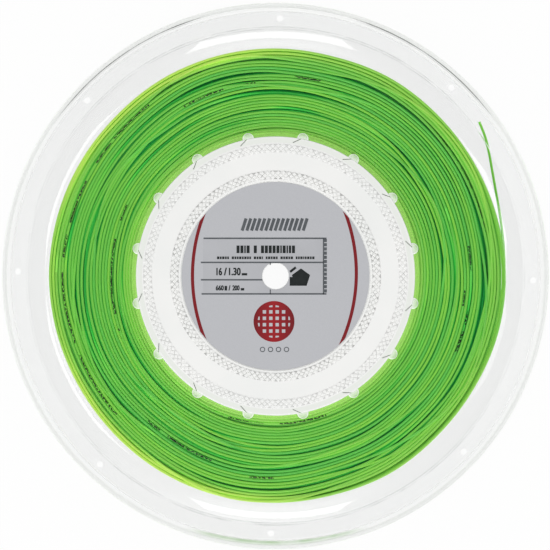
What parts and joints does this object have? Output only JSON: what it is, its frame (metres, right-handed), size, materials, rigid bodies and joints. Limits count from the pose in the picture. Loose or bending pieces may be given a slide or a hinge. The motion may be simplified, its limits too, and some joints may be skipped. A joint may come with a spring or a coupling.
{
  "type": "string reel",
  "caption": "Flat round reel: clear plastic flanges on a milky hub with a central spindle bore, holding a full winding of thin green racket string.",
  "frame": {"origin": "on the spindle axis, in the plane that the rear rim rests on", "axes": "+Z along the spindle axis from the rear flange to the front flange, +Y towards the top of the labels"},
  "size_m": [0.25, 0.25, 0.0256],
  "materials": {
    "clear_plastic": "clear, glossy, moulded",
    "milky_plastic": "milky translucent, satin, with knurled bands",
    "label_card": "coated card, printed",
    "string": "smooth extruded polyester, semi-gloss"
  },
  "bodies": {
    "root": {"rear_flange": "clear_plastic", "front_flange": "clear_plastic", "drum": "milky_plastic", "rear_hub_cap": "milky_plastic", "front_hub_cap": "milky_plastic", "spindle_sleeve": "milky_plastic", "hub_ribs": "milky_plastic", "rear_label": "label_card", "front_label": "label_card", "string_bulk": "string", "string_turns": "string", "string_tail": "string"}
  },
  "joints": []
}
